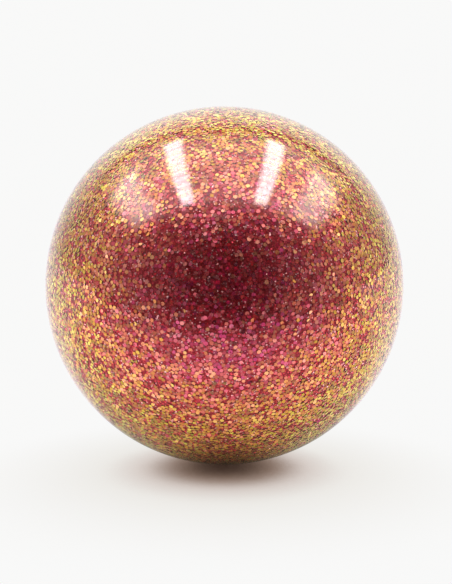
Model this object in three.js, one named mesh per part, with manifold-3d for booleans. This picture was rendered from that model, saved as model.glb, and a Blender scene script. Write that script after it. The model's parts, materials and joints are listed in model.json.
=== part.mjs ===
// A hollow rubber play ball with a coat of film glitter under a clear gloss skin.
// Two moulded rubber halves meet at a lapped seam. The glitter coat and the clear skin
// cover them, and a self-sealing valve with a push-in plug sits at the back.
// Millimetres, +Z up. The origin is the centre of the small flat that the ball rests on,
// and +Y points out of the valve.

import * as THREE from "three";
import { mergeVertices } from "three/addons/utils/BufferGeometryUtils.js";
import Module from "manifold-3d";

// The ball and its layers, from the outside in
const BALL_DIAMETER = 100;
const REST_FLAT_DEPTH = 0.4; // how far the ball's weight presses its underside flat
const SKIN_WALL = 0.9;
const COAT_WALL = 0.5;
const SHELL_WALL = 2.4;
const BOND_GAP = 0.2; // bond line between two layers

// The seam where the rear half's tongue laps inside the front half
const LAP_LENGTH = 3;
const SEAM_GAP = 0.3;

// The port through every layer, and the valve housing that stands in it
const PORT_RADIUS = 5;
const PORT_CLEARANCE = 0.3;
const PORT_LIP = 0.5; // chamfer round the port in the skin
const FACE_SET_BACK = 0.15; // housing's outer face below the rim of the port
const FLANGE_RADIUS = 8.5;
const FLANGE_EDGE = 0.8;
const FLANGE_ROOT = 1.8;
const FLANGE_SEAT_GAP = 0.15;
const HOUSING_DEPTH = 12; // housing's reach inside the rubber shell
const HOUSING_RADIUS = 4.6;
const HOUSING_FLOOR = 1.6;
const HOUSING_END_ROUND = 1.2;
const AIR_HOLE_RADIUS = 0.8;
const PRY_NOTCH_RADIUS = 0.7; // finger-nail notch beside the plug's head

// The self-sealing core in the housing's bore, held by a bead in a groove
const CORE_RADIUS = 2.6;
const CORE_CLEARANCE = 0.3;
const BEAD_HEIGHT = 0.5;
const BEAD_WIDTH = 1.6;
const CORE_END_CHAMFER = 0.5;

// The plug that closes the core's needle channel
const PLUG_HEAD_RADIUS = 3;
const PLUG_HEAD_THICKNESS = 1.2;
const PLUG_HEAD_EDGE = 0.35; // rounding of the head's rim
const PLUG_STEM_RADIUS = 1;
const PLUG_STEM_LENGTH = 7;
const PLUG_RIB_COUNT = 3;
const PLUG_RIB_HEIGHT = 0.3;
const PLUG_RIB_WIDTH = 1;
const PLUG_CLEARANCE = 0.3;

// Facets
const BALL_FACETS = 40; // round the ball, and half of it from pole to pole
const VALVE_FACETS = 24;
const NOTCH_FACETS = 12;
const ROUND_STEPS = 4; // steps in a small rounding

// Sizes that follow from these
const BALL_RADIUS = BALL_DIAMETER / 2;
const CENTRE_HEIGHT = BALL_RADIUS - REST_FLAT_DEPTH;
const COAT_RADIUS = BALL_RADIUS - SKIN_WALL - BOND_GAP;
const SHELL_RADIUS = COAT_RADIUS - COAT_WALL - BOND_GAP;
const SHELL_INNER_RADIUS = SHELL_RADIUS - SHELL_WALL;
const FACET_SHRINK = Math.cos(Math.PI / BALL_FACETS) ** 2; // facet's middle against its corners
const PORT_RIM = Math.sqrt(BALL_RADIUS ** 2 - PORT_RADIUS ** 2) * FACET_SHRINK;
const FACE_HEIGHT = PORT_RIM - FACE_SET_BACK;
const HEAD_RECESS_FLOOR = FACE_HEIGHT - PLUG_HEAD_THICKNESS - PLUG_CLEARANCE;
const BORE_RADIUS = CORE_RADIUS + CORE_CLEARANCE;
const HOUSING_END = SHELL_INNER_RADIUS - HOUSING_DEPTH;
const BORE_FLOOR = HOUSING_END + HOUSING_FLOOR;
const CORE_TOP = HEAD_RECESS_FLOOR;
const CORE_BOTTOM = BORE_FLOOR + CORE_CLEARANCE;
const BEAD_MIDDLE = (CORE_TOP + CORE_BOTTOM) / 2;
const CHANNEL_RADIUS = PLUG_STEM_RADIUS + PLUG_RIB_HEIGHT + PLUG_CLEARANCE;

const wasm = await Module();
wasm.setup();

// A closed three.js geometry as a solid that can be joined and cut.
function solidFrom(geometry) {
  const bare = geometry.index ? geometry.toNonIndexed() : geometry.clone();
  bare.deleteAttribute("normal");
  bare.deleteAttribute("uv");
  const merged = mergeVertices(bare, 1e-4);
  const corners = merged.index.array;
  const faces = [];
  for (let i = 0; i < corners.length; i += 3) {
    const [a, b, c] = corners.slice(i, i + 3);
    if (a !== b && b !== c && c !== a) faces.push(a, b, c);
  }
  return new wasm.Manifold(
    new wasm.Mesh({
      numProp: 3,
      vertProperties: merged.attributes.position.array,
      triVerts: new Uint32Array(faces),
    }),
  );
}

// A solid's triangles as a flat-shaded geometry.
function geometryFrom(solid) {
  const mesh = solid.getMesh();
  const indexed = new THREE.BufferGeometry();
  indexed.setAttribute("position", new THREE.BufferAttribute(mesh.vertProperties, 3));
  indexed.setIndex(new THREE.BufferAttribute(mesh.triVerts, 1));
  const flat = indexed.toNonIndexed();
  flat.computeVertexNormals();
  return flat;
}

function point(radius, height) {
  return new THREE.Vector2(radius, height);
}

// Points along an arc, its first end left out.
function arcPoints(centre, radius, from, to, steps) {
  return Array.from({ length: steps }, (_, i) => {
    const angle = from + ((to - from) * (i + 1)) / steps;
    return point(centre.x + radius * Math.cos(angle), centre.y + radius * Math.sin(angle));
  });
}

// A profile turned round the Y axis.
function turned(profile, facets) {
  return new THREE.LatheGeometry(profile, facets);
}

// A solid ball round the origin with the rest flat pressed into its underside. Every layer
// has the same flat depth, so the wall keeps its thickness over the flat.
function restingBall(radius) {
  const flat = REST_FLAT_DEPTH - radius;
  const flatEdge = Math.asin(flat / radius);
  const centre = point(0, 0);
  const quarter = BALL_FACETS / 4;
  const profile = [
    point(0, flat),
    point(radius * Math.cos(flatEdge), flat),
    ...arcPoints(centre, radius, flatEdge, 0, quarter),
    ...arcPoints(centre, radius, 0, Math.PI / 2, quarter),
  ];
  profile.at(-1).setX(0);
  return solidFrom(turned(profile, BALL_FACETS).rotateX(Math.PI / 2));
}

function hollowBall(outerRadius, innerRadius) {
  return restingBall(outerRadius).subtract(restingBall(innerRadius));
}

// A block that reaches past the ball on every side, between two planes across the valve axis.
function slab(fromY, toY) {
  const side = 2 * BALL_DIAMETER;
  const block = new THREE.BoxGeometry(side, toY - fromY, side);
  return solidFrom(block.translate(0, (fromY + toY) / 2, 0));
}

// The hole for the valve, with a chamfer where it leaves the skin.
function portHole() {
  const past = BALL_RADIUS + PORT_LIP;
  const profile = [
    point(0, SHELL_INNER_RADIUS / 2),
    point(PORT_RADIUS, SHELL_INNER_RADIUS / 2),
    point(PORT_RADIUS, PORT_RIM - PORT_LIP),
    point(PORT_RADIUS + PORT_LIP, PORT_RIM),
    point(PORT_RADIUS + PORT_LIP, past),
    point(0, past),
  ];
  return solidFrom(turned(profile, VALVE_FACETS));
}

function clearSkin() {
  return hollowBall(BALL_RADIUS, BALL_RADIUS - SKIN_WALL).subtract(portHole());
}

function glitterCoat() {
  return hollowBall(COAT_RADIUS, COAT_RADIUS - COAT_WALL).subtract(portHole());
}

// The rear half carries the valve, and its tongue is the inner part of the wall.
function rearHalfShell() {
  const tongueRadius = (SHELL_RADIUS + SHELL_INNER_RADIUS - SEAM_GAP) / 2;
  const wall = hollowBall(SHELL_RADIUS, SHELL_INNER_RADIUS);
  const tongue = hollowBall(tongueRadius, SHELL_INNER_RADIUS);
  const half = wall.intersect(slab(SEAM_GAP / 2, BALL_DIAMETER));
  const lap = tongue.intersect(slab(-LAP_LENGTH, LAP_LENGTH));
  return half.add(lap).subtract(portHole());
}

// The front half is rebated inside its edge, where the tongue lies.
function frontHalfShell() {
  const rebateRadius = (SHELL_RADIUS + SHELL_INNER_RADIUS + SEAM_GAP) / 2;
  const wall = hollowBall(SHELL_RADIUS, SHELL_INNER_RADIUS);
  const half = wall.intersect(slab(-BALL_DIAMETER, -SEAM_GAP / 2));
  const rebate = restingBall(rebateRadius).intersect(slab(-LAP_LENGTH - SEAM_GAP, LAP_LENGTH));
  return half.subtract(rebate);
}

// A rubber cup that stands in the port, with a flange bonded to the inside of the shell.
// Its mouth takes the plug's head, and the bore below holds the core.
function valveHousing() {
  const seatRadius = SHELL_INNER_RADIUS * FACET_SHRINK - FLANGE_SEAT_GAP;
  const neckRadius = PORT_RADIUS - PORT_CLEARANCE;
  const neckAngle = Math.acos(neckRadius / seatRadius);
  const edgeAngle = Math.acos(FLANGE_RADIUS / seatRadius);
  const flangeEdge = seatRadius * Math.sin(edgeAngle) - FLANGE_EDGE;
  const flangeRoot = seatRadius * Math.sin(neckAngle) - FLANGE_ROOT;
  const mouthRadius = PLUG_HEAD_RADIUS + PLUG_CLEARANCE;
  const grooveRadius = BORE_RADIUS + BEAD_HEIGHT;
  const grooveHalf = BEAD_WIDTH / 2 + CORE_CLEARANCE;
  const roundCentre = point(HOUSING_RADIUS - HOUSING_END_ROUND, HOUSING_END + HOUSING_END_ROUND);
  const outside = [
    point(AIR_HOLE_RADIUS, HOUSING_END),
    point(roundCentre.x, HOUSING_END),
    ...arcPoints(roundCentre, HOUSING_END_ROUND, -Math.PI / 2, 0, ROUND_STEPS),
    point(HOUSING_RADIUS, flangeRoot),
    point(FLANGE_RADIUS, flangeEdge),
    point(FLANGE_RADIUS, seatRadius * Math.sin(edgeAngle)),
    ...arcPoints(point(0, 0), seatRadius, edgeAngle, neckAngle, ROUND_STEPS),
    point(neckRadius, FACE_HEIGHT),
  ];
  const inside = [
    point(mouthRadius, FACE_HEIGHT),
    point(mouthRadius, HEAD_RECESS_FLOOR),
    point(BORE_RADIUS, HEAD_RECESS_FLOOR),
    point(BORE_RADIUS, BEAD_MIDDLE + grooveHalf),
    point(grooveRadius, BEAD_MIDDLE + BEAD_WIDTH / 2),
    point(grooveRadius, BEAD_MIDDLE - BEAD_WIDTH / 2),
    point(BORE_RADIUS, BEAD_MIDDLE - grooveHalf),
    point(BORE_RADIUS, BORE_FLOOR),
    point(AIR_HOLE_RADIUS, BORE_FLOOR),
  ];
  const profile = [...outside, ...inside, outside[0].clone()];
  const notchLength = 2 * (FACE_HEIGHT - HEAD_RECESS_FLOOR);
  const notch = new THREE.CylinderGeometry(PRY_NOTCH_RADIUS, PRY_NOTCH_RADIUS, notchLength, NOTCH_FACETS);
  notch.translate(0, FACE_HEIGHT, -mouthRadius);
  return solidFrom(turned(profile, VALVE_FACETS)).subtract(solidFrom(notch));
}

// A soft rubber stopper with the needle channel along its axis and a bead round its middle.
function valveCore() {
  const beadRadius = CORE_RADIUS + BEAD_HEIGHT;
  const profile = [
    point(CHANNEL_RADIUS, CORE_BOTTOM),
    point(CORE_RADIUS - CORE_END_CHAMFER, CORE_BOTTOM),
    point(CORE_RADIUS, CORE_BOTTOM + CORE_END_CHAMFER),
    point(CORE_RADIUS, BEAD_MIDDLE - BEAD_WIDTH / 2),
    point(beadRadius, BEAD_MIDDLE - BEAD_WIDTH / 4),
    point(beadRadius, BEAD_MIDDLE + BEAD_WIDTH / 4),
    point(CORE_RADIUS, BEAD_MIDDLE + BEAD_WIDTH / 2),
    point(CORE_RADIUS, CORE_TOP - CORE_END_CHAMFER),
    point(CORE_RADIUS - CORE_END_CHAMFER, CORE_TOP),
    point(CHANNEL_RADIUS, CORE_TOP),
    point(CHANNEL_RADIUS, CORE_BOTTOM),
  ];
  return solidFrom(turned(profile, VALVE_FACETS));
}

// A flat-headed peg whose ribs grip the channel.
function valvePlug() {
  const headTop = FACE_HEIGHT;
  const headUnder = headTop - PLUG_HEAD_THICKNESS;
  const stemEnd = headUnder - PLUG_STEM_LENGTH;
  const ribPitch = (PLUG_STEM_LENGTH - PLUG_STEM_RADIUS) / PLUG_RIB_COUNT;
  const ribRadius = PLUG_STEM_RADIUS + PLUG_RIB_HEIGHT;
  const tipCentre = point(0, stemEnd + PLUG_STEM_RADIUS);
  const rimCentre = point(PLUG_HEAD_RADIUS - PLUG_HEAD_EDGE, headTop - PLUG_HEAD_EDGE);
  const ribs = Array.from({ length: PLUG_RIB_COUNT }, (_, i) => {
    const low = tipCentre.y + i * ribPitch;
    const crest = low + PLUG_RIB_WIDTH;
    return [point(ribRadius, crest), point(PLUG_STEM_RADIUS, crest), point(PLUG_STEM_RADIUS, low + ribPitch)];
  });
  const profile = [
    point(0, stemEnd),
    ...arcPoints(tipCentre, PLUG_STEM_RADIUS, -Math.PI / 2, 0, ROUND_STEPS),
    ...ribs.flat(),
    point(PLUG_HEAD_RADIUS, headUnder),
    ...arcPoints(rimCentre, PLUG_HEAD_EDGE, 0, Math.PI / 2, ROUND_STEPS),
    point(0, headTop),
  ];
  return solidFrom(turned(profile, VALVE_FACETS));
}

const CLEAR_VINYL = new THREE.MeshStandardMaterial({
  color: 0xf3e9ea,
  roughness: 0.06,
  metalness: 0,
  transparent: true,
  opacity: 0.25,
});
const GLITTER = new THREE.MeshStandardMaterial({ color: 0xb0623f, roughness: 0.3, metalness: 0.6 });
const RED_RUBBER = new THREE.MeshStandardMaterial({ color: 0x6a0d1e, roughness: 0.6, metalness: 0 });
const VALVE_RUBBER = new THREE.MeshStandardMaterial({ color: 0x4a0a16, roughness: 0.7, metalness: 0 });
const PLUG_PLASTIC = new THREE.MeshStandardMaterial({ color: 0xe8dfd2, roughness: 0.4, metalness: 0 });

const ball = new THREE.Group();
ball.position.z = CENTRE_HEIGHT;

function addPiece(name, solid, material) {
  const mesh = new THREE.Mesh(geometryFrom(solid), material);
  mesh.name = name;
  ball.add(mesh);
}

addPiece("clear_skin", clearSkin(), CLEAR_VINYL);
addPiece("glitter_coat", glitterCoat(), GLITTER);
addPiece("front_half_shell", frontHalfShell(), RED_RUBBER);
addPiece("rear_half_shell", rearHalfShell(), RED_RUBBER);
addPiece("valve_housing", valveHousing(), VALVE_RUBBER);
addPiece("valve_core", valveCore(), VALVE_RUBBER);
addPiece("valve_plug", valvePlug(), PLUG_PLASTIC);

const part = new THREE.Group();
part.add(ball);

export default part;
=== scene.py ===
# %% [markdown]
# # A glitter rubber ball
#
# The ball is a hollow rubber shell under a dense coat of film glitter, sealed in a clear gloss skin. Its
# looks come from three layers that light passes in turn: the skin mirrors the room sharply, the flakes
# mirror it softly in colours that change with the angle, and a crimson ground shows between them. At the
# back, where a pump goes, a rubber valve is closed by a small ivory plug.

# %% Setup
import json

import bpy
import numpy as np
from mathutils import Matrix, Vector


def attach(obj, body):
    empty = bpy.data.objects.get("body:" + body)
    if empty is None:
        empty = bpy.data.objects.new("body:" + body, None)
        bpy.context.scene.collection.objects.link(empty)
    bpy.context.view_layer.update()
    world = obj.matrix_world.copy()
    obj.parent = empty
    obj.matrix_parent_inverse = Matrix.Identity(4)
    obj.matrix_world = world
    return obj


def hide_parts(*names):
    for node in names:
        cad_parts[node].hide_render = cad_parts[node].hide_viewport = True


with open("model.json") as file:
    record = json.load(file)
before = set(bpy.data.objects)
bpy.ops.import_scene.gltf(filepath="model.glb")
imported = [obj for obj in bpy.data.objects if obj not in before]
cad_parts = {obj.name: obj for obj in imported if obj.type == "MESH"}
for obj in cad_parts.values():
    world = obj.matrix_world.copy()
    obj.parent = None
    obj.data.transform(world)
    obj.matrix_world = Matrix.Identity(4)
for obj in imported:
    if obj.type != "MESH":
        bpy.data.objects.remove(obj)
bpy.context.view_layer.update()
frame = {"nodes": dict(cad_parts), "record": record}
mounts = {mount["name"]: mount for mount in frame["record"]["mounts"]}

# %% [markdown]
# ## Sizes
#
# The sizes follow the solids, so that each surface lies where its solid is: a ball 100 mm across, pressed
# 0.4 mm flat where it rests, with the valve on its back along +Y. Lengths are in metres, and a size in
# millimetres is written as a number times `mm`.

# %% Sizes
mm = 0.001
BALL_RADIUS = 50 * mm
REST_FLAT_DEPTH = 0.4 * mm
SKIN_WALL = 0.9 * mm
COAT_RADIUS = 48.9 * mm
COAT_WALL = 0.5 * mm
PORT_RADIUS = 5 * mm
PORT_LIP = 0.5 * mm
FACE_HEIGHT = mounts["pump_seat"]["pos_m"][1]
CENTRE = np.array([0, 0, BALL_RADIUS - REST_FLAT_DEPTH])
rng = np.random.default_rng(20)
print("centre at", CENTRE, "and the valve's face at", FACE_HEIGHT)

# %% [markdown]
# ## Making meshes
#
# Apart from the flakes, everything on the ball is round, so most pieces are a profile turned about the
# valve's axis. A modelling program would call that a lathe or a spin. Here the profile's points and the
# turn's angles make one grid of points, worked out as whole arrays and handed to Blender at once. The first
# helper makes a mesh of any points and faces.


# %% Mesh from arrays
def mesh_object(name, points, *face_sets):
    """A mesh object from points and one or more arrays of faces, one row of corners for each face."""
    mesh = bpy.data.meshes.new(name)
    corners = np.concatenate([faces.ravel() for faces in face_sets]).astype(np.int32)
    counts = np.concatenate([np.full(len(faces), faces.shape[1]) for faces in face_sets])
    starts = np.concatenate([[0], np.cumsum(counts)[:-1]])
    mesh.vertices.add(len(points))
    mesh.vertices.foreach_set("co", np.ascontiguousarray(points, np.float32).ravel())
    mesh.loops.add(len(corners))
    mesh.loops.foreach_set("vertex_index", corners)
    mesh.polygons.add(len(counts))
    mesh.polygons.foreach_set("loop_start", starts.astype(np.int32))
    mesh.update(calc_edges=True)
    mesh.validate()
    piece = bpy.data.objects.new(name, mesh)
    bpy.context.scene.collection.objects.link(piece)
    print(name, "is made of", len(points), "points and", len(counts), "faces")
    return piece


# %% [markdown]
# A moulded piece has no sharp corners: each is a small arc, and a profile is drawn as its few corners and
# the radius of each. A Bevel modifier could round the edges afterwards, but it can't give each its own
# radius as plainly as this, and a rounded profile turns into clean rings of faces.


# %% Profiles
def arc(radius, start, end, steps):
    """Points (r, y) on a circle round the ball's centre, between two angles in degrees from the r axis."""
    angle = np.radians(np.linspace(start, end, steps + 1))
    return radius * np.stack([np.cos(angle), np.sin(angle)], 1)


def rounded(corners, radii, steps=6):
    """An outline whose corners are arcs. An arc of radius q in a corner with half angle h starts q / tan h
    from the corner on either side, and its centre is q / sin h away on the line that halves the corner."""
    corners = np.array(corners)
    share = np.linspace(0, 1, steps + 1)[:, None]
    outline = []
    befores = np.roll(corners, 1, 0)
    afters = np.roll(corners, -1, 0)
    for before, corner, after, radius in zip(befores, corners, afters, radii):
        if radius == 0:
            outline.append(corner[None])
            continue
        back = (before - corner) / np.linalg.norm(before - corner)
        on = (after - corner) / np.linalg.norm(after - corner)
        half = np.arccos(back @ on) / 2
        centre = corner + (back + on) / np.linalg.norm(back + on) * radius / np.sin(half)
        first = corner + back * radius / np.tan(half) - centre
        last = corner + on * radius / np.tan(half) - centre
        swing = np.pi - 2 * half
        swept = np.sin((1 - share) * swing) * first + np.sin(share * swing) * last
        outline.append(centre + swept / np.sin(swing))
    return np.concatenate(outline)


def rounded_in_mm(outline):
    """Rounds an outline that is a list of corners, each with its radius in millimetres."""
    corners, radii = zip(*outline)
    return rounded(corners, [radius * mm for radius in radii])


square = [[0, 0], [1, 0], [1, 1], [0, 1]]
print("a square with round corners has", len(rounded(square, [0.1] * 4)), "points")

# %% Turning a profile
ON_AXIS = 1e-9


def turned(name, profile, around, loop=False, smooth_angle=40):
    """A profile of (r, y) turned about the valve's axis: x = r cos a, z = -r sin a. An end on the axis
    closes with a fan of triangles, and a loop joins its last point to its first. Seen with r to the right
    and y up, the outline runs anticlockwise, so that the faces point out."""
    starts = profile[0, 0] < ON_AXIS
    ends = profile[-1, 0] < ON_AXIS
    rings = profile[int(starts) : len(profile) - int(ends)]
    count = len(rings)
    turn = 2 * np.pi * np.arange(around) / around
    x = rings[:, :1] * np.cos(turn)
    z = rings[:, :1] * -np.sin(turn)
    y = np.repeat(rings[:, 1:], around, 1)
    points = np.stack([x, y, z], 2).reshape(-1, 3)
    here = np.arange(around)
    after = (here + 1) % around
    low = np.arange(count if loop else count - 1)[:, None] * around
    high = (low + around) % (count * around)
    faces = [np.stack([low + here, low + after, high + after, high + here], 2).reshape(-1, 4)]
    if starts:
        faces.append(np.stack([np.full(around, len(points)), after, here], 1))
        points = np.concatenate([points, [[0, profile[0, 1], 0]]])
    if ends:
        top = (count - 1) * around
        faces.append(np.stack([np.full(around, len(points)), top + here, top + after], 1))
        points = np.concatenate([points, [[0, profile[-1, 1], 0]]])
    piece = mesh_object(name, points + CENTRE, *faces)
    piece.data.shade_smooth()
    piece.data.set_sharp_from_angle(angle=np.radians(smooth_angle))
    return piece


# %% [markdown]
# Two things on the ball can't be turned: the small flat that it rests on and the notch beside the plug.
# Both could be cut with a boolean, which leaves ragged faces round the cut. Moving the points that are
# already there keeps the rings whole. The signed volume of a piece then tells whether its faces point out.


# %% Moving and measuring points
def points_of(piece):
    """A piece's points, measured from the ball's centre."""
    points = np.empty(len(piece.data.vertices) * 3, np.float32)
    piece.data.vertices.foreach_get("co", points)
    return points.reshape(-1, 3) - CENTRE


def reshape(piece, change):
    """Gives every point of a piece to a function and puts back what it returns."""
    points = change(points_of(piece)) + CENTRE
    piece.data.vertices.foreach_set("co", points.astype(np.float32).ravel())
    piece.data.update()


def press_flat(piece, radius):
    """Raises what lies under the rest flat onto it, in the layer of that radius."""
    lowest = np.array([-np.inf, -np.inf, REST_FLAT_DEPTH - radius])
    reshape(piece, lambda points: np.maximum(points, lowest))


def signed_volume(piece):
    """The sum of a . (b x c) / 6 over triangles with corners a, b and c.
    It is positive when the faces point out."""
    piece.data.calc_loop_triangles()
    corners = np.empty(len(piece.data.loop_triangles) * 3, np.int32)
    piece.data.loop_triangles.foreach_get("vertices", corners)
    a, b, c = points_of(piece)[corners.reshape(-1, 3)].transpose(1, 0, 2)
    return (a * np.cross(b, c)).sum() / 6


# %% [markdown]
# ## Materials
#
# Every finish is a node material that reads Object coordinates or the piece's own attributes. Moulded
# rubber and plastic are never one even colour: the pigment is a little uneven, the mould leaves a fine
# grain, and handling polishes some spots. `moulded` gives all three from two noise textures.


# %% Material helpers
def new_material(name):
    """A node material, with its node tree and its shader."""
    material = bpy.data.materials.new(name)
    material.use_nodes = True
    return material, material.node_tree, material.node_tree.nodes["Principled BSDF"]


def set_sockets(shader, values):
    """Sets a shader's own sockets from a dictionary of names and values."""
    for name, value in values.items():
        shader.inputs[name].default_value = value


# %% Patterns
def noise(tree, scale, detail):
    """Soft random patches, about 1 / scale metres wide."""
    coordinates = tree.nodes.new("ShaderNodeTexCoord")
    texture = tree.nodes.new("ShaderNodeTexNoise")
    texture.inputs["Scale"].default_value = scale
    texture.inputs["Detail"].default_value = detail
    tree.links.new(coordinates.outputs["Object"], texture.inputs["Vector"])
    return texture.outputs["Fac"]


def chip_cells(tree, scale):
    """Random cells, about 1 / scale metres wide, each with random values of its own."""
    coordinates = tree.nodes.new("ShaderNodeTexCoord")
    cells = tree.nodes.new("ShaderNodeTexVoronoi")
    cells.inputs["Scale"].default_value = scale
    tree.links.new(coordinates.outputs["Object"], cells.inputs["Vector"])
    values = tree.nodes.new("ShaderNodeSeparateColor")
    tree.links.new(cells.outputs["Color"], values.inputs["Color"])
    return values.outputs


def ramp(tree, value, *stops):
    """A colour ramp through (position, colour) stops. A single number stands for a grey."""
    node = tree.nodes.new("ShaderNodeValToRGB")
    elements = node.color_ramp.elements
    for _ in stops[2:]:
        elements.new(0.5)
    for element, (position, colour) in zip(elements, stops):
        element.position = position
        element.color = (*(colour if isinstance(colour, tuple) else (colour,) * 3), 1)
    tree.links.new(value, node.inputs["Fac"])
    return node.outputs["Color"]


# %% Moulded finish
PATCH_SCALE = 140
GRAIN_SCALE = 2600


def moulded(name, dark, light, roughness, grain):
    """A moulded finish: uneven pigment between two colours, uneven gloss between two limits,
    and a grain of that depth in metres."""
    material, tree, shader = new_material(name)
    patches = noise(tree, PATCH_SCALE, detail=4)
    tree.links.new(ramp(tree, patches, (0.3, dark), (0.7, light)), shader.inputs["Base Color"])
    low, high = roughness
    tree.links.new(ramp(tree, patches, (0.35, high), (0.65, low)), shader.inputs["Roughness"])
    bump = tree.nodes.new("ShaderNodeBump")
    bump.inputs["Distance"].default_value = grain
    tree.links.new(noise(tree, GRAIN_SCALE, detail=2), bump.inputs["Height"])
    tree.links.new(bump.outputs["Normal"], shader.inputs["Normal"])
    print(name, "has a grain", grain / mm, "mm deep")
    return material


# %% Finishing pieces
def finish_piece(piece, material, body, slot, *nodes):
    """Gives a piece its material and body, and hides the solids that it stands for. Its slot is not used.
    """
    piece.data.materials.clear()
    piece.data.materials.append(material)
    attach(piece, body)
    if nodes:
        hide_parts(*nodes)
    print(piece.name, "rides on", body, "with", material.name)


# %% [markdown]
# ## The rubber halves
#
# Two halves of crimson rubber make the wall of the ball. The layers over them hide them, so their solids
# are kept as they are and only get the finish of moulded rubber.

# %% Rubber halves
red_rubber = moulded("red_rubber", (0.24, 0.014, 0.036), (0.34, 0.026, 0.060), (0.50, 0.68), 0.03 * mm)
for half in ("front_half_shell", "rear_half_shell"):
    shell = frame["nodes"][half]
    shell.data.materials.clear()
    shell.data.materials.append(red_rubber)
    print(half, "keeps its solid")

# %% [markdown]
# ## The glitter coat
#
# The coat is film glitter in a clear binder, and its lower face takes the crimson of the rubber behind it.
# A texture could only paint flakes on. Real ones lie at different heights and angles, so that each mirrors
# its own part of the room, and that is what makes glitter glitter. So the flakes are modelled, over a
# ground that is a thin shell open only at the valve.

# %% Ground under the flakes
GROUND_RADIUS = COAT_RADIUS - 0.32 * mm
GROUND_STEPS = 120
GROUND_AROUND = 200
port_edge = np.degrees(np.arccos(PORT_RADIUS / GROUND_RADIUS))
outside = arc(GROUND_RADIUS, -90, port_edge, GROUND_STEPS)
inside = arc(COAT_RADIUS - COAT_WALL, port_edge, -90, GROUND_STEPS)
ground = turned("glitter_ground", np.concatenate([outside, inside]), GROUND_AROUND)
press_flat(ground, GROUND_RADIUS)
print("the ground's wall is", round(signed_volume(ground) / mm**3), "cubic millimetres")

# %% [markdown]
# The finest dust of the glitter, too small to tell apart, colours the ground. Cells of a Voronoi texture, a
# quarter of a millimetre wide, stand for it: most are as dark as the rubber, and a few shine.

# %% Ground material
GROUND_CELLS = 4000
material, tree, shader = new_material("red_ground")
cells = chip_cells(tree, GROUND_CELLS)
tones = [(0.0, (0.220, 0.006, 0.012)), (0.6, (0.340, 0.012, 0.022)), (1.0, (0.520, 0.060, 0.070))]
tree.links.new(ramp(tree, cells["Red"], *tones), shader.inputs["Base Color"])
tree.links.new(ramp(tree, cells["Green"], (0, 0.25), (1, 0.6)), shader.inputs["Roughness"])
set_sockets(shader, {"Metallic": 0.7})
finish_piece(ground, material, "ball", "film_glitter", "glitter_coat")

# %% [markdown]
# The flakes are hexagons punched from iridescent film, about a millimetre across. Brushed onto the ball
# they settle nearly flat and side by side, with gaps where there were too few. Fine foil chips have sunk
# into the binder below them and fill the gaps, and a little dust lies on top. So there are three layers.
# The sizes below are real ones, and the counts are what such a ball would carry. Each layer also has the
# random shift of its places, in units of their spacing, and its share of loose flakes.

# %% Flake sizes
HEXAGON = 6
SQUARE = 4
FLAKE_WIDTH = 1.12 * mm
FLAKE_PLACES = 24000
FLAKE_SHARE = 0.80
FLAKE_SPACING = 1.04 * FLAKE_WIDTH
FLAKE_SHIFT = 0.5
FLAKE_LOOSE = 0.02
FLAKE_DEPTHS = (0.10 * mm, 0.13 * mm)
CHIP_WIDTH = 0.46 * mm
CHIP_COUNT = 90000
CHIP_SHIFT = 0.5
CHIP_LOOSE = 0.15
CHIP_DEPTHS = (0.14 * mm, 0.20 * mm)
DUST_WIDTH = 0.28 * mm
DUST_COUNT = 12000
DUST_SHIFT = 0.6
DUST_LOOSE = 0.6
DUST_DEPTHS = (0.05 * mm, 0.08 * mm)
WIDTH_RANGE = (0.80, 1.02)
FLAT_TILT = np.radians(5)
LOOSE_TILT = np.radians(18)
hexagons = FLAKE_PLACES * FLAKE_SHARE * np.sqrt(0.75) * (FLAKE_WIDTH * np.mean(WIDTH_RANGE)) ** 2
print(f"flakes cover {hexagons / (4 * np.pi * COAT_RADIUS**2):.0%} of the coat")

# %% [markdown]
# Places on a sphere could be drawn at random, but then many flakes would lie on each other. The seeds of a
# sunflower show a better way: each one turns by the golden angle from the last, and they fill the head
# evenly. Pushed about a little and then apart again, the places lose their rows and still hardly overlap. A
# random share of them stays empty, which gives the clusters and gaps of brushed glitter.


# %% Places over a sphere
SETTLING_PASSES = 16
NEIGHBOUR_STEPS = (34, 55, 89, 144, 233, 377, 610)


def unit(vectors):
    """Vectors divided by their lengths."""
    return vectors / np.linalg.norm(vectors, axis=1, keepdims=True)


def sunflower(count, shift):
    """Directions spread evenly over a sphere: point k lies at height 1 - 2k / count and turns by the golden
    angle from one to the next. A random shift, in units of the spacing, breaks up the rows."""
    k = np.arange(count) + 0.5
    height = 1 - 2 * k / count
    turn = np.pi * (1 + np.sqrt(5)) * k
    ring = np.sqrt(1 - height**2)
    out = np.stack([ring * np.cos(turn), ring * np.sin(turn), height], 1)
    out += rng.normal(0, shift * np.sqrt(4 * np.pi / count), out.shape)
    return unit(out)


def settled(count, shift, gap):
    """Sunflower directions that push each other aside until they lie a gap apart. In that order a point's
    neighbours come a Fibonacci number of places before and after it, so each such step is one sum of
    arrays."""
    out = sunflower(count, shift)
    for _ in range(SETTLING_PASSES):
        move = np.zeros_like(out)
        for step in NEIGHBOUR_STEPS:
            between = out[step:] - out[:-step]
            distance = np.linalg.norm(between, axis=1, keepdims=True)
            push = between / distance * np.clip(gap - distance, 0, None) / 2
            move[step:] += push
            move[:-step] -= push
        out = unit(out + move)
    return out


side_by_side = settled(FLAKE_PLACES, FLAKE_SHIFT, FLAKE_SPACING / COAT_RADIUS)
side_by_side = side_by_side[rng.random(FLAKE_PLACES) < FLAKE_SHARE]
print(len(side_by_side), "of", FLAKE_PLACES, "places hold a flake")

# %% [markdown]
# A flake lies on the ball like a tile on a roof, tipped by a few degrees, and by more where it came to rest
# on another one. Geometry nodes could scatter copies of one flake. Worked out as arrays, the corners of all
# the flakes are one sum, and each flake can carry values of its own.

# %% Flake corners
PORT_MARGIN = 0.6 * FLAKE_WIDTH


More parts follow.
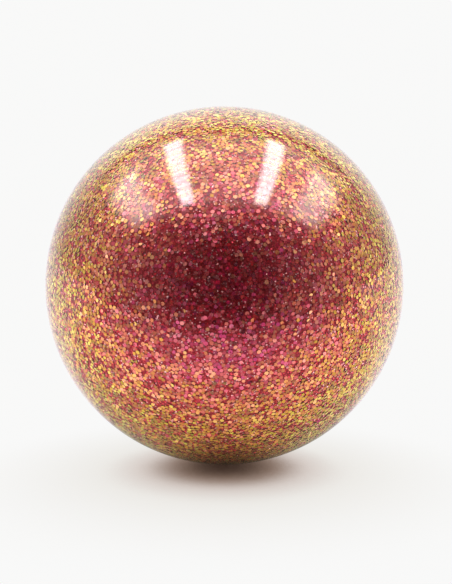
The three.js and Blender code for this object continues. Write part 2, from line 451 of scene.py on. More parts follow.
def clear_of_port(outward):
    """True for directions whose flakes stay clear of the hole for the valve."""
    from_axis = np.hypot(outward[:, 0], outward[:, 2]) * COAT_RADIUS
    return (outward[:, 1] < 0) | (from_axis > PORT_RADIUS + PORT_MARGIN)


def flake_corners(centres, outward, sides, width, tilt):
    """The corners of flat flakes with that many equal sides. A flake's normal is the ball's, tipped at
    random by about its tilt. The corners lie in equal steps round it, starting from a random side."""
    normal = unit(outward + rng.normal(0, 1, outward.shape) * np.tan(tilt)[:, None])
    side = unit(np.cross(normal, rng.normal(0, 1, outward.shape)))
    up = np.cross(normal, side)
    turn = (2 * np.pi * np.arange(sides) / sides)[None, :, None]
    reach = width / 2 / np.cos(np.pi / sides) * rng.uniform(*WIDTH_RANGE, len(centres))[:, None, None]
    return centres[:, None] + reach * (np.cos(turn) * side[:, None] + np.sin(turn) * up[:, None])


def flake_layer(name, outward, sides, width, loose_share, depths):
    """A layer of flakes, at depths between two limits under the top of the coat. Loose ones tilt more."""
    outward = outward[clear_of_port(outward)]
    depth = rng.uniform(*depths, len(outward))
    centres = outward * (COAT_RADIUS - depth)[:, None]
    tilt = np.where(rng.random(len(outward)) < loose_share, LOOSE_TILT, FLAT_TILT)
    corners = flake_corners(centres, outward, sides, width, tilt)
    faces = np.arange(len(corners) * sides).reshape(-1, sides)
    layer = mesh_object(name, corners.reshape(-1, 3) + CENTRE, faces)
    press_flat(layer, COAT_RADIUS - depths[0])
    return layer


# %% Layers of flakes
flakes = flake_layer("glitter_flakes", side_by_side, HEXAGON, FLAKE_WIDTH, FLAKE_LOOSE, FLAKE_DEPTHS)
chip_places = sunflower(CHIP_COUNT, CHIP_SHIFT)
chips = flake_layer("glitter_chips", chip_places, SQUARE, CHIP_WIDTH, CHIP_LOOSE, CHIP_DEPTHS)
dust_places = sunflower(DUST_COUNT, DUST_SHIFT)
dust = flake_layer("glitter_dust", dust_places, SQUARE, DUST_WIDTH, DUST_LOOSE, DUST_DEPTHS)
print("the coat holds", sum(len(layer.data.polygons) for layer in (flakes, chips, dust)), "flakes in all")

# %% [markdown]
# The film is a stack of clear layers. Light from its two faces adds up for one colour and cancels for
# others, pink seen square on and gold at a slant, and a film a few nanometres thicker is pinker. The
# shader's own thin film does this sum. Three stocks of film are mixed, with thicknesses in nanometres, and
# the pigment below the film is crimson, wine or rose. Chips and dust are plain foil in like colours. All of
# it is stored on the flakes, one value for each.

# %% Flake colours
PIGMENTS = np.array([[0.38, 0.006, 0.014], [0.20, 0.003, 0.008], [0.45, 0.040, 0.060]])
PIGMENT_SHARES = [0.70, 0.18, 0.12]
FOILS = np.array([[0.63, 0.054, 0.084], [0.48, 0.018, 0.032], [0.92, 0.400, 0.420]])
CHIP_SHARES = [0.52, 0.30, 0.18]
DUST_SHARES = [0.40, 0.10, 0.50]
TONE_RANGE = (0.7, 1.2)


def flake_attribute(layer, name, values):
    """Stores one value, or one colour, for each flake on all of its corners."""
    sides = len(layer.data.vertices) // len(layer.data.polygons)
    kind, field = ("FLOAT_COLOR", "color") if values.ndim == 2 else ("FLOAT", "value")
    data = layer.data.attributes.new(name, kind, "POINT").data
    data.foreach_set(field, np.repeat(values, sides, 0).astype(np.float32).ravel())
    print(layer.name, name, "from", values.min().round(3), "to", values.max().round(3))


def flake_colours(layer, colours, shares):
    """A colour for each flake, picked by its share, and lighter or darker at random."""
    count = len(layer.data.polygons)
    colour = colours[rng.choice(len(colours), count, p=shares)] * rng.uniform(*TONE_RANGE, (count, 1))
    flake_attribute(layer, "flake_colour", np.concatenate([colour, np.ones((count, 1))], 1))


flake_colours(flakes, PIGMENTS, PIGMENT_SHARES)
flake_colours(chips, FOILS, CHIP_SHARES)
flake_colours(dust, FOILS, DUST_SHARES)

# %% Film stocks
FILMS = np.array([335, 342, 350])
FILM_SHARES = [0.40, 0.35, 0.25]
FILM_SPREAD = 3
film_stock = FILMS[rng.choice(len(FILMS), len(flakes.data.polygons), p=FILM_SHARES)]
flake_attribute(flakes, "film_nm", film_stock + rng.normal(0, FILM_SPREAD, len(film_stock)))

# %% [markdown]
# Some flakes are glossier than others. A brush doesn't spread them evenly either: where the binder lies
# thicker, a whole clump of them is duller, and the clump beside it shines. A noise texture could draw such
# clumps, but its edges would cut through the flakes. A sum of waves gives one value at each flake's middle.

# %% Clumps of gloss
GLOSS_RANGE = (0.25, 0.60)
CLUMP_WIDTHS = (4 * mm, 7 * mm)
CLUMP_WAVES = 24
CLUMP_DEPTH = 0.28
CLUMP_LIMITS = (0.5, 1.2)


def clumps(places):
    """A smooth random field, of mean 0 and spread 1: the sum of cosine waves in random directions."""
    widths = rng.uniform(*CLUMP_WIDTHS, (CLUMP_WAVES, 1))
    waves = unit(rng.normal(0, 1, (CLUMP_WAVES, 3))) * 2 * np.pi / widths
    phases = rng.uniform(0, 2 * np.pi, CLUMP_WAVES)
    return np.sqrt(2 / CLUMP_WAVES) * np.cos(places @ waves.T + phases).sum(1)


flake_middles = points_of(flakes).reshape(len(film_stock), -1, 3).mean(1)
gloss = rng.uniform(*GLOSS_RANGE, len(film_stock))
gloss *= np.clip(1 + CLUMP_DEPTH * clumps(flake_middles), *CLUMP_LIMITS)
flake_attribute(flakes, "film_gloss", gloss)

# %% [markdown]
# A map with a cell of its own for each flake keeps the flakes' colours apart wherever they are stored as a
# picture.

# %% Flake map
CELL_REACH = 0.45


def flake_map(layer):
    """A square grid of cells, with one flake's outline in each."""
    number = np.arange(len(layer.data.polygons))
    sides = len(layer.data.vertices) // len(number)
    across = int(np.ceil(np.sqrt(len(number))))
    cell = np.stack([number % across, number // across], 1)[:, None] + 0.5
    turn = 2 * np.pi * np.arange(sides) / sides
    outline = CELL_REACH * np.stack([np.cos(turn), np.sin(turn)], 1)
    places = layer.data.uv_layers.new(name="OFBake")
    places.data.foreach_set("uv", ((cell + outline) / across).astype(np.float32).ravel())
    print(layer.name, "map has", across, "cells a side")


flake_map(flakes)
flake_map(chips)
flake_map(dust)

# %% [markdown]
# Film and foil are both scuffed by the brushing, which a fine grain in their colour shows, and a few grains
# are painted brighter than their colour as painted glints. The film mirrors through its thin layer, under a
# warm tint. The foil is metal, and the binder over it takes a gold sheen at a slant.

# %% Flake materials
SCUFF_CELLS = 3600


def flake_material(name, roughness):
    """A flake's stored colour times a grain from random cells.
    Some specks are darker scuffs, and a few are painted glints, brighter than the flake's colour."""
    material, tree, shader = new_material(name)
    colour = tree.nodes.new("ShaderNodeAttribute")
    colour.attribute_name = "flake_colour"
    # Darker specks are scuffs, and specks above 1 are painted glints.
    scuff_and_painted_glint = ramp(tree, chip_cells(tree, SCUFF_CELLS)["Red"], (0.0, 0.45), (0.8, 1.0), (1.0, 1.5))
    grained = tree.nodes.new("ShaderNodeVectorMath")
    grained.operation = "MULTIPLY"
    tree.links.new(colour.outputs["Color"], grained.inputs[0])
    tree.links.new(scuff_and_painted_glint, grained.inputs[1])
    tree.links.new(grained.outputs["Vector"], shader.inputs["Base Color"])
    set_sockets(shader, {"Roughness": roughness})
    return material, tree, shader


def read_flakes(tree, attribute, socket):
    """Links a value that is stored on the flakes to a socket."""
    node = tree.nodes.new("ShaderNodeAttribute")
    node.attribute_name = attribute
    tree.links.new(node.outputs["Fac"], socket)


# %% Film and foil
material, tree, shader = flake_material("film_flakes", roughness=0.25)
read_flakes(tree, "film_nm", shader.inputs["Thin Film Thickness"])
read_flakes(tree, "film_gloss", shader.inputs["Specular IOR Level"])
set_sockets(shader, {"Thin Film IOR": 1.9, "IOR": 4.6, "Specular Tint": (1.0, 0.96, 0.52, 1)})
finish_piece(flakes, material, "ball", "film_glitter")

material, tree, shader = flake_material("sunk_foil", roughness=0.36)
gold_sheen = {"Sheen Weight": 0.6, "Sheen Roughness": 0.4, "Sheen Tint": (1.0, 0.66, 0.16, 1)}
set_sockets(shader, {"Metallic": 0.95, **gold_sheen})
finish_piece(chips, material, "ball", "film_glitter")
finish_piece(dust, material, "ball", "film_glitter")

# %% [markdown]
# ## The clear skin
#
# The skin is clear soft vinyl, so smooth that it mirrors the lamps sharply. It is bonded to the coat
# without air between them, so light is bent only once, at the outside, and the flakes fill the ball right
# to its edge. A glass wall with an inside face would show a clear ring there. So only the outer face and
# the port's wall are made. The shader passes light almost straight, and a clear coat over it does the
# mirroring. Rays that leave the flakes don't see the skin, so that it tints their light only once.

# %% Skin
SKIN_STEPS = 160
SKIN_AROUND = 320
LIP_ROUNDING = 0.3


def on_ball(radius):
    """The point of the ball's outside at that distance from the valve's axis."""
    return [radius, np.sqrt(BALL_RADIUS**2 - radius**2)]


lip_edge = on_ball(PORT_RADIUS + PORT_LIP)
lip = rounded_in_mm([
    (on_ball(PORT_RADIUS + 2 * PORT_LIP), 0),
    (lip_edge, LIP_ROUNDING),
    ([PORT_RADIUS, lip_edge[1] - PORT_LIP], LIP_ROUNDING),
    ([PORT_RADIUS, BALL_RADIUS - SKIN_WALL - PORT_LIP], 0),
])
lip_start = np.degrees(np.arcsin(lip[0, 1] / BALL_RADIUS))
skin_profile = np.concatenate([arc(BALL_RADIUS, -90, lip_start, SKIN_STEPS), lip[1:]])
skin = turned("clear_skin_gloss", skin_profile, SKIN_AROUND)
press_flat(skin, BALL_RADIUS)
skin.visible_shadow = False
skin.visible_diffuse = False
skin.visible_glossy = False
print("the skin holds", round(signed_volume(skin) / mm**3 / 1000), "cubic centimetres")

# %% Skin material
CLOUD_SCALE = 90
material, tree, shader = new_material("clear_vinyl")
cloud = noise(tree, CLOUD_SCALE, detail=3)
tint = ramp(tree, cloud, (0.3, (1, 0.955, 0.84)), (0.7, (1, 0.965, 0.86)))
tree.links.new(tint, shader.inputs["Base Color"])
set_sockets(shader, {"Roughness": 0.0, "IOR": 1.04, "Transmission Weight": 1.0})
set_sockets(shader, {"Coat Weight": 1.0, "Coat Roughness": 0.03, "Coat IOR": 1.5})
finish_piece(skin, material, "ball", "clear_vinyl", "clear_skin")

# %% [markdown]
# ## The valve
#
# A pump's needle goes in at the back, through a rubber cup that is bonded inside the wall. The cup's neck
# fills the port, its flange lies against the inside of the shell, and its mouth takes the plug's head, with
# a notch for a finger nail. All of it is turned from one rounded outline. The notch can't be turned, so the
# mouth's points are moved out afterwards to where a round cutter would leave them.

# %% Valve sizes
NECK_RADIUS = 4.7 * mm
MOUTH_RADIUS = 3.3 * mm
MOUTH_DEPTH = 1.5 * mm
BORE_RADIUS = 2.9 * mm
BORE_FLOOR = 35.4 * mm
CUP_RADIUS = 4.6 * mm
CUP_END = 33.8 * mm
AIR_HOLE_RADIUS = 0.8 * mm
FLANGE_RADIUS = 8.5 * mm
FLANGE_SEAT_RADIUS = 45.36 * mm
FLANGE_EDGE = 0.8 * mm
FLANGE_ROOT = 1.8 * mm
NOTCH_RADIUS = 0.7 * mm
BEAD_HEIGHT = 0.5 * mm
BEAD_WIDTH = 1.6 * mm
CLEARANCE = 0.3 * mm
CUP_AROUND = 192
mouth_floor = FACE_HEIGHT - MOUTH_DEPTH
bead_middle = (mouth_floor + BORE_FLOOR + CLEARANCE) / 2
print("the cup is", round((FACE_HEIGHT - CUP_END) / mm, 1), "mm long")

# %% Valve housing
seat_edge = np.sqrt(FLANGE_SEAT_RADIUS**2 - FLANGE_RADIUS**2)
seat_neck = np.sqrt(FLANGE_SEAT_RADIUS**2 - NECK_RADIUS**2)
groove = BEAD_WIDTH / 2 + CLEARANCE
cup = [
    ([AIR_HOLE_RADIUS, CUP_END], 0.2),
    ([CUP_RADIUS, CUP_END], 1.2),
    ([CUP_RADIUS, seat_neck - FLANGE_ROOT], 0.5),
    ([FLANGE_RADIUS, seat_edge - FLANGE_EDGE], 0.3),
    ([FLANGE_RADIUS, seat_edge], 0.2),
    ([NECK_RADIUS, seat_neck], 0.3),
    ([NECK_RADIUS, FACE_HEIGHT], 0.25),
    ([MOUTH_RADIUS, FACE_HEIGHT], 0.2),
    ([MOUTH_RADIUS, mouth_floor], 0.15),
    ([BORE_RADIUS, mouth_floor], 0.15),
    ([BORE_RADIUS, bead_middle + groove], 0.1),
    ([BORE_RADIUS + BEAD_HEIGHT, bead_middle + BEAD_WIDTH / 2], 0.1),
    ([BORE_RADIUS + BEAD_HEIGHT, bead_middle - BEAD_WIDTH / 2], 0.1),
    ([BORE_RADIUS, bead_middle - groove], 0.1),
    ([BORE_RADIUS, BORE_FLOOR], 0.3),
    ([AIR_HOLE_RADIUS, BORE_FLOOR], 0.2),
]
housing = turned("valve_cup", rounded_in_mm(cup), CUP_AROUND, loop=True)

# %% Finger nail notch
WALL_REACH = 0.21 * mm
FLOOR_REACH = 0.01 * mm


def cut_notch(points):
    """Widens the mouth on its -Z side. A cutter of radius a, centred on the mouth's wall at radius R,
    reaches R cos t + sqrt(a^2 - R^2 sin^2 t) from the axis at the angle t from its own direction."""
    radius = np.hypot(points[:, 0], points[:, 2])
    sine = points[:, 0] / radius
    cosine = -points[:, 2] / radius
    under_root = NOTCH_RADIUS**2 - (MOUTH_RADIUS * sine) ** 2
    reach = MOUTH_RADIUS * cosine + np.sqrt(np.maximum(under_root, 0))
    widen = np.where((under_root > 0) & (cosine > 0), np.maximum(reach - MOUTH_RADIUS, 0), 0)
    on_wall = (np.abs(radius - MOUTH_RADIUS) < WALL_REACH) & (points[:, 1] > mouth_floor - FLOOR_REACH)
    scale = 1 + np.where(on_wall, widen, 0) / radius
    return points * np.stack([scale, np.ones_like(scale), scale], 1)


reshape(housing, cut_notch)
valve_rubber = moulded("valve_rubber", (0.14, 0.010, 0.024), (0.24, 0.020, 0.044), (0.48, 0.70), 0.03 * mm)
finish_piece(housing, valve_rubber, "ball", "valve_rubber", "valve_housing")
print("the cup is", round(signed_volume(housing) / mm**3), "cubic millimetres of rubber")

# %% [markdown]
# The core is a soft stopper that closes round the needle. It shows only when the plug is out, as the ring
# round the dark channel. A bead round its middle sits in the cup's groove and holds it.

# %% Valve core
CORE_RADIUS = 2.6 * mm
CHANNEL_RADIUS = 1.6 * mm
SMALL_AROUND = 128
core_bottom = BORE_FLOOR + CLEARANCE
core_outline = [
    ([CHANNEL_RADIUS, core_bottom], 0.15),
    ([CORE_RADIUS, core_bottom], 0.5),
    ([CORE_RADIUS, bead_middle - BEAD_WIDTH / 2], 0.2),
    ([CORE_RADIUS + BEAD_HEIGHT, bead_middle - BEAD_WIDTH / 4], 0.2),
    ([CORE_RADIUS + BEAD_HEIGHT, bead_middle + BEAD_WIDTH / 4], 0.2),
    ([CORE_RADIUS, bead_middle + BEAD_WIDTH / 2], 0.2),
    ([CORE_RADIUS, mouth_floor], 0.5),
    ([CHANNEL_RADIUS, mouth_floor], 0.3),
]
core = turned("valve_stopper", rounded_in_mm(core_outline), SMALL_AROUND, loop=True)
finish_piece(core, valve_rubber, "ball", "valve_rubber", "valve_core")
print("the stopper is", round(signed_volume(core) / mm**3), "cubic millimetres of rubber")

# %% [markdown]
# The plug is a peg of ivory plastic with a flat head. Its head is dished a little, with the small nub in
# the middle where the plastic was let into the mould, and three ribs on its stem grip the channel like
# barbs: each rises from the tip's side and drops square.

# %% Valve plug
HEAD_RADIUS = 3 * mm
HEAD_THICKNESS = 1.2 * mm
STEM_RADIUS = 1 * mm
STEM_LENGTH = 7 * mm
RIB_COUNT = 3
RIB_HEIGHT = 0.3 * mm
RIB_WIDTH = 1 * mm
DISH_RADIUS = 2.1 * mm
DISH_DEPTH = 0.2 * mm
NUB_RADIUS = 0.4 * mm
head_under = FACE_HEIGHT - HEAD_THICKNESS
stem_end = head_under - STEM_LENGTH
rib_pitch = (STEM_LENGTH - STEM_RADIUS) / RIB_COUNT
plug_outline = [([0, stem_end], 0), ([STEM_RADIUS, stem_end], 0.9)]
for low in stem_end + STEM_RADIUS + rib_pitch * np.arange(RIB_COUNT):
    plug_outline += [
        ([STEM_RADIUS, low], 0.1),
        ([STEM_RADIUS + RIB_HEIGHT, low + RIB_WIDTH], 0.08),
        ([STEM_RADIUS, low + RIB_WIDTH], 0.08),
    ]
plug_outline += [
    ([STEM_RADIUS, head_under], 0.2),
    ([HEAD_RADIUS, head_under], 0.15),
    ([HEAD_RADIUS, FACE_HEIGHT], 0.35),
    ([DISH_RADIUS, FACE_HEIGHT], 0.3),
    ([DISH_RADIUS - DISH_DEPTH, FACE_HEIGHT - DISH_DEPTH], 0.3),
    ([NUB_RADIUS, FACE_HEIGHT - DISH_DEPTH], 0.08),
    ([NUB_RADIUS, FACE_HEIGHT - DISH_DEPTH / 2], 0.06),
    ([0, FACE_HEIGHT - DISH_DEPTH / 2], 0),
]
plug = turned("ivory_plug", rounded_in_mm(plug_outline), SMALL_AROUND)
plug_plastic = moulded("plug_plastic", (0.78, 0.72, 0.62), (0.86, 0.81, 0.73), (0.32, 0.46), 0.01 * mm)
finish_piece(plug, plug_plastic, "plug", "plug_plastic", "valve_plug")
print("the plug is", round(signed_volume(plug) / mm**3), "cubic millimetres of plastic")

# %% [markdown]
# ## The studio
#
# Glitter shows its surroundings, so the room matters as much as the ball. It is a small white photo tent:
# white walls and roof, an open front that stays dark, two rows of lamps along the roof and a soft lamp
# behind either side wall. Its floor is a white sheet that ends a little in front of the ball. Lamps and
# walls of real meshes would do. Sums of a few nodes need no meshes and are easier to adjust, so the helpers
# below write such sums in the node tree that is being made.


# %% Sums of nodes
def connect(socket, value):
    """Gives an input a number, or the output of another node."""
    if isinstance(value, bpy.types.NodeSocket):
        tree.links.new(value, socket)
    else:
        socket.default_value = value


def calculate(operation, *values):
    """A Math node on numbers or outputs of other nodes."""
    node = tree.nodes.new("ShaderNodeMath")
    node.operation = operation
    for socket, value in zip(node.inputs, values):
        connect(socket, value)
    return node.outputs[0]


def product(first, *others):
    """All the values multiplied."""
    for other in others:
        first = calculate("MULTIPLY", first, other)
    return first


def total(first, *others):
    """All the values added."""
    for other in others:
        first = calculate("ADD", first, other)
    return first


# %% Runs from one value to another
def off_by(value, place):
    """How far a value is from a place, either way."""
    return calculate("ABSOLUTE", calculate("SUBTRACT", value, place))


def mapped(value, start, end, low=0.0, high=1.0, run="LINEAR"):
    """Low up to start, high past end, and a straight or smooth run between."""
    node = tree.nodes.new("ShaderNodeMapRange")
    node.interpolation_type = run
    settings = {"Value": value, "From Min": start, "From Max": end, "To Min": low, "To Max": high}
    for name, setting in settings.items():
        connect(node.inputs[name], setting)
    return node.outputs["Result"]


def rise(value, start, end):
    """0 below start and 1 above end, smooth between."""
    return mapped(value, start, end, run="SMOOTHSTEP")


def fall(value, start, end):
    """1 below start and 0 above end, smooth between."""
    return mapped(value, start, end, 1.0, 0.0, run="SMOOTHSTEP")


# %% [markdown]
# The floor is a white sheet. The ball keeps light off it, most of all right under itself, and what does get
# there comes mostly from behind. An Ambient Occlusion node measures that, with its normal leaning back, and
# a ramp turns it into the tones of a painted shadow, warm as painted light from the ball's own colour. The
# camera sees these tones as an emission in place of the lit sheet.

# %% Floor
FLOOR_FRONT = -0.235
FLOOR_BACK = 4
FLOOR_SIDE = 3
floor_points = np.array([
    [-FLOOR_SIDE, FLOOR_FRONT, 0],
    [FLOOR_SIDE, FLOOR_FRONT, 0],
    [FLOOR_SIDE, FLOOR_BACK, 0],
    [-FLOOR_SIDE, FLOOR_BACK, 0],
])
floor = mesh_object("studio_floor", floor_points, np.array([[0, 1, 2, 3]]))
material, tree, shader = new_material("white_floor")
floor.data.materials.append(material)
set_sockets(shader, {"Base Color": (0.92, 0.92, 0.915, 1), "Roughness": 0.6})

# %% Shadow on the floor
SHADOW_REACH = 5 * BALL_RADIUS
COVER_SAMPLES = 48
LEAN = np.radians(35)
cover = tree.nodes.new("ShaderNodeAmbientOcclusion")
cover.inputs["Distance"].default_value = SHADOW_REACH
cover.samples = COVER_SAMPLES
lean = tree.nodes.new("ShaderNodeCombineXYZ")
lean.inputs["Y"].default_value = np.sin(LEAN)
lean.inputs["Z"].default_value = np.cos(LEAN)
tree.links.new(lean.outputs["Vector"], cover.inputs["Normal"])
open_sky = cover.outputs["AO"]
tones = ramp(
    tree,
    open_sky,
    (0.14, (0.020, 0.008, 0.005)),
    (0.19, (0.147, 0.095, 0.070)),
    (0.24, (0.279, 0.195, 0.153)),
    (0.34, (0.665, 0.590, 0.550)),
    (0.50, (0.845, 0.825, 0.790)),
    (0.85, (0.945, 0.945, 0.940)),
)
# The painted shadow: an emission in the shadow's tones, which the camera sees instead of the lit sheet.
painted_shadow = tree.nodes.new("ShaderNodeEmission")
tree.links.new(tones, painted_shadow.inputs["Color"])
print("the shadow reaches", SHADOW_REACH, "m from the ball")

# %% [markdown]
# The ball mirrors the floor, in the flakes and again in the skin. A camera's curve holds back what is
# brightest, and a plain render doesn't. So what the ball mirrors is an emission, a painted reflection with
# a brightness of its own, apart from the light it gives: one in the flakes, which lie under the skin, and a
# lower one in the skin. This painted brightness gets darker towards the sheet's front edge, where the tent
# is open, as painted shade, and it holds a painted shadow under the ball, warm as painted light from the
# ball.
# Behind the ball it is about as white in the skin as the wall that it runs up to, so the ball's lower edge
# is pale.

# %% Floor in the ball
FRONT_TONE = 0.12
FULL_TONE = 1.08
FULL_TONE_START = -0.04
TONE_IN_SKIN = 0.36
TONE_IN_FLAKES = 2.08
BEHIND_BALL = (0.0, 0.035)
GAIN_IN_SKIN = 2.5
GAIN_IN_FLAKES = 1.05
UNDER_BALL = (0.10, 0.33)
COVER_POWER = 0.5
rays = tree.nodes.new("ShaderNodeLightPath")
skins_passed = rays.outputs["Transmission Depth"]
coordinates = tree.nodes.new("ShaderNodeTexCoord")
split = tree.nodes.new("ShaderNodeSeparateXYZ")
tree.links.new(coordinates.outputs["Object"], split.inputs[0])
floor_y = split.outputs["Y"]
gain_behind = mapped(skins_passed, 0, 1, low=GAIN_IN_SKIN, high=GAIN_IN_FLAKES)
# Painted reflection of the floor: a painted shadow under the ball and painted shade towards the front edge.
painted_floor_reflection = product(
    calculate("POWER", open_sky, COVER_POWER),
    mapped(floor_y, FLOOR_FRONT, FULL_TONE_START, low=FRONT_TONE, high=FULL_TONE),
    mapped(skins_passed, 0, 1, low=TONE_IN_SKIN, high=TONE_IN_FLAKES),
    mapped(floor_y, *BEHIND_BALL, low=1, high=gain_behind),
    mapped(open_sky, *UNDER_BALL),
)
# Painted warm light from the ball, strongest in the painted shadow.
painted_warm_bounce = ramp(tree, open_sky, (0.10, (1, 0.68, 0.44)), (0.42, (1, 0.98, 0.82)), (0.80, (1, 0.95, 1.0)))
painted_floor_in_mirrors = tree.nodes.new("ShaderNodeEmission")
tree.links.new(painted_floor_reflection, painted_floor_in_mirrors.inputs["Strength"])
tree.links.new(painted_warm_bounce, painted_floor_in_mirrors.inputs["Color"])
print("the flakes see the floor at", TONE_IN_FLAKES, "and the skin at", TONE_IN_SKIN)


# %% Floor for each kind of ray
def choose(ray, otherwise, chosen):
    """A shader for one kind of ray, and another for the rest."""
    node = tree.nodes.new("ShaderNodeMixShader")
    tree.links.new(rays.outputs[ray], node.inputs["Fac"])
    tree.links.new(otherwise, node.inputs[1])
    tree.links.new(chosen, node.inputs[2])
    return node.outputs["Shader"]


look = choose("Is Glossy Ray", shader.outputs["BSDF"], painted_floor_in_mirrors.outputs["Emission"])
look = choose("Is Camera Ray", look, painted_shadow.outputs["Emission"])
tree.links.new(look, tree.nodes["Material Output"].inputs["Surface"])
print("the floor's material has", len(tree.nodes), "nodes")

# %% [markdown]
# The tent is the world: a brightness for each direction (x, y, z) from the ball, with the open front along
# -Y. Like the floor it has three levels for each of its parts: the light that it gives, which keeps white
# at white, and its brightness in the flakes and in the skin, as a camera's curve would show it. Cycles can
# also search a world for its bright parts, with rays that don't know what they come from. The levels hang
# on that, so the search is off.

# %% Tent
world = bpy.data.worlds.new("tent")
bpy.context.scene.world = world
world.use_nodes = True
world.cycles.sampling_method = "NONE"
tree = world.node_tree
background = tree.nodes["Background"]
coordinates = tree.nodes.new("ShaderNodeTexCoord")
split = tree.nodes.new("ShaderNodeSeparateXYZ")
tree.links.new(coordinates.outputs["Generated"], split.inputs[0])
x, y, z = split.outputs
beside = calculate("ABSOLUTE", x)
print("the world is a", world.name)

# %% Three levels
rays = tree.nodes.new("ShaderNodeLightPath")
under_skin = calculate("MINIMUM", rays.outputs["Transmission Depth"], 1)
in_flakes = product(rays.outputs["Is Glossy Ray"], under_skin)
in_skin = calculate("SUBTRACT", rays.outputs["Is Glossy Ray"], in_flakes)


def level(light, flakes, skin):
    """The light level, plus the difference to the level in the flakes or the skin for a ray from there."""
    return total(product(in_flakes, flakes - light), product(in_skin, skin - light), light)


print("a ray tells", len(rays.outputs), "things about itself, and the tent uses three of them")

# %% [markdown]
# The walls are white and the front is open, with the dark room behind it. Its edges are far out of focus in
# the flakes, so the opening fades over a wide range of directions. Where the roof's cloth meets the back
# wall, a sewn seam bows across and mirrors as a thin darker line, and the cloth above it is brighter than
# the walls.

# %% Walls and open front
OPEN_AZIMUTH = np.radians([8, 122])
OPEN_ELEVATION = np.radians([36, 72])
SEAM_BOW = -0.65
SEAM_SLOPE = -0.75
SEAM_SCALE = 0.71
SEAM_PLACE = -0.04
SEAM_HALF_WIDTH = (0.01, 0.11)
SEAM_HEIGHT = (0.25, 0.55)
ROOF_EDGE = (-0.05, 0.08)
ROOF_HEIGHT = (0.05, 0.5)
BACK_WALL = (0.55, 0.95)
azimuth = calculate("ARCTAN2", beside, product(y, -1))
elevation = calculate("ARCSINE", z)
opening = product(fall(azimuth, *OPEN_AZIMUTH), fall(elevation, *OPEN_ELEVATION))
seam = product(total(y, product(z, SEAM_SLOPE), product(beside, SEAM_BOW)), SEAM_SCALE)
seam_shade = product(fall(off_by(seam, SEAM_PLACE), *SEAM_HALF_WIDTH), rise(z, *SEAM_HEIGHT))
above_seam = product(rise(seam, *ROOF_EDGE), rise(z, *ROOF_HEIGHT))
back_wall = rise(y, *BACK_WALL)
white = total(
    level(light=0.85, flakes=1.25, skin=0.40),
    product(back_wall, level(light=0, flakes=0, skin=0.58)),
)
walls = product(
    calculate("SUBTRACT", 1, product(opening, level(light=0.4, flakes=0.977, skin=0.985))),
    calculate("SUBTRACT", 1, product(seam_shade, level(light=0.2, flakes=0.0, skin=0.75))),
    total(product(above_seam, level(light=0, flakes=1.45, skin=0.25)), 1),
    white,
)
print("the walls take", len(tree.nodes), "nodes")

# %% [markdown]
# Two rows of small lamps run along the roof, and a sheet of diffuser spreads their light. A row mirrors in
# the skin as a white strip with a faint ripple, one for each lamp, that fades towards the back. `roof_x`
# and `roof_y` are where a direction meets a flat roof one unit up.

# %% Lamp rows along the roof
STRIP_PLACE = 0.40
STRIP_MIDDLE = 0.105
STRIP_HALF_WIDTH = (0.04, 0.11)
STRIP_HALF_LENGTH = (0.50, 0.63)
STRIP_LEVEL = 1.05
STRIP_SLOPE = -0.52
LAMP_SPACING = 0.098
LAMP_RIPPLE = 0.14
LOWEST_ROOF = 0.05
overhead = calculate("MAXIMUM", z, LOWEST_ROOF)
roof_x = calculate("DIVIDE", beside, overhead)
roof_y = calculate("DIVIDE", y, overhead)
strip_across = fall(off_by(roof_x, STRIP_PLACE), *STRIP_HALF_WIDTH)
strip_along = fall(off_by(roof_y, STRIP_MIDDLE), *STRIP_HALF_LENGTH)
strip_fade = total(product(roof_y, STRIP_SLOPE), STRIP_LEVEL)
lamp_wave = calculate("SINE", product(roof_y, 2 * np.pi / LAMP_SPACING))
lamp_ripple = total(product(lamp_wave, LAMP_RIPPLE), 1)
strip_shape = product(strip_across, strip_along, strip_fade, lamp_ripple)
strips = product(strip_shape, level(light=1.0, flakes=0.0, skin=13.0))
print("the rows are", STRIP_PLACE, "to either side of the middle")

# %% Diffuser under the lamps
DIFFUSER_BACK = (-0.40, 0.0)
DIFFUSER_FRONT = (-0.66, -0.36)
DIFFUSER_SIDE = (1.0, 1.7)
diffuser_shape = product(
    fall(seam, *DIFFUSER_BACK),
    rise(roof_y, *DIFFUSER_FRONT),
    fall(roof_x, *DIFFUSER_SIDE),
)
diffuser = product(diffuser_shape, level(light=0.1, flakes=0.98, skin=1.6))
print("with its lamps the roof takes the world to", len(tree.nodes), "nodes")

# %% [markdown]
# A soft lamp stands behind either side wall. Through the cloth it shows as a pale patch with blurred edges,
# sharper on the side next to the roof.

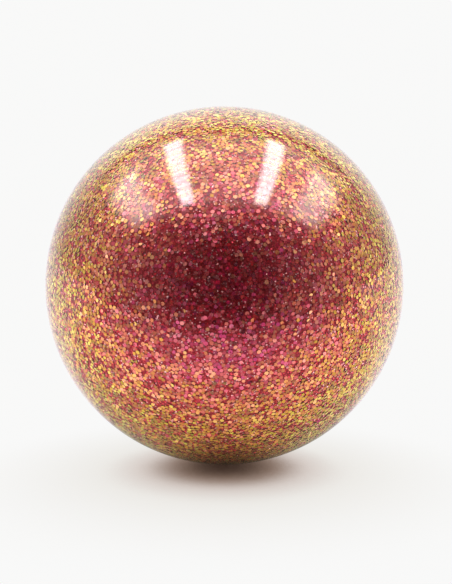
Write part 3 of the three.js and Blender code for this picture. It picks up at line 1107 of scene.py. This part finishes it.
# %% Soft lamps behind the side walls
PATCH_TOP = (0.74, 0.94)
PATCH_BOTTOM = (1.10, 1.70)
PATCH_MIDDLE = 0.08
PATCH_HALF_LENGTH = (0.34, 0.66)
patch_shape = product(
    rise(roof_x, *PATCH_TOP),
    fall(roof_x, *PATCH_BOTTOM),
    fall(off_by(roof_y, PATCH_MIDDLE), *PATCH_HALF_LENGTH),
)
patches = product(patch_shape, level(light=1.2, flakes=1.0, skin=4.5))
print("the tent has", len(tree.nodes), "nodes")

# %% [markdown]
# The camera sees the far wall as plain white, a little under full, so that the ball's pale rim stands out
# from it.

# %% Light and background
BACKGROUND_WHITE = 0.94
mix = tree.nodes.new("ShaderNodeMix")
tree.links.new(rays.outputs["Is Camera Ray"], mix.inputs["Factor"])
tree.links.new(total(walls, strips, diffuser, patches), mix.inputs["A"])
mix.inputs["B"].default_value = BACKGROUND_WHITE
tree.links.new(mix.outputs["Result"], background.inputs["Strength"])
background.inputs["Color"].default_value = (1, 1, 1, 1)
print("the background is white at a strength of", BACKGROUND_WHITE)

# %% [markdown]
# ## The camera
#
# The picture looks slightly down on the ball from close by, with a long lens that fills the frame with it.
# The camera aims just below the ball's centre, so the ball stands a little high in the frame. Colours are
# shown as they are written, with no film curve.

# %% Camera
VIEW_ELEVATION = np.radians(10)
VIEW_DISTANCE = 0.62
AIM_OFFSET = np.array([0.45 * mm, 0, -1.9 * mm])
SENSOR_WIDTH = 36
LENS_LENGTH = 136.6
camera = bpy.data.cameras.new("camera")
camera.sensor_width = SENSOR_WIDTH
camera.lens = LENS_LENGTH
camera_object = bpy.data.objects.new("camera", camera)
bpy.context.scene.collection.objects.link(camera_object)
eye = CENTRE + VIEW_DISTANCE * np.array([0, -np.cos(VIEW_ELEVATION), np.sin(VIEW_ELEVATION)])
sight = Vector(CENTRE + AIM_OFFSET) - Vector(eye)
camera_object.location = eye
camera_object.rotation_euler = sight.to_track_quat("-Z", "Y").to_euler()
bpy.context.scene.camera = camera_object
bpy.context.scene.view_settings.view_transform = "Standard"
print("the camera stands at", eye.round(3))
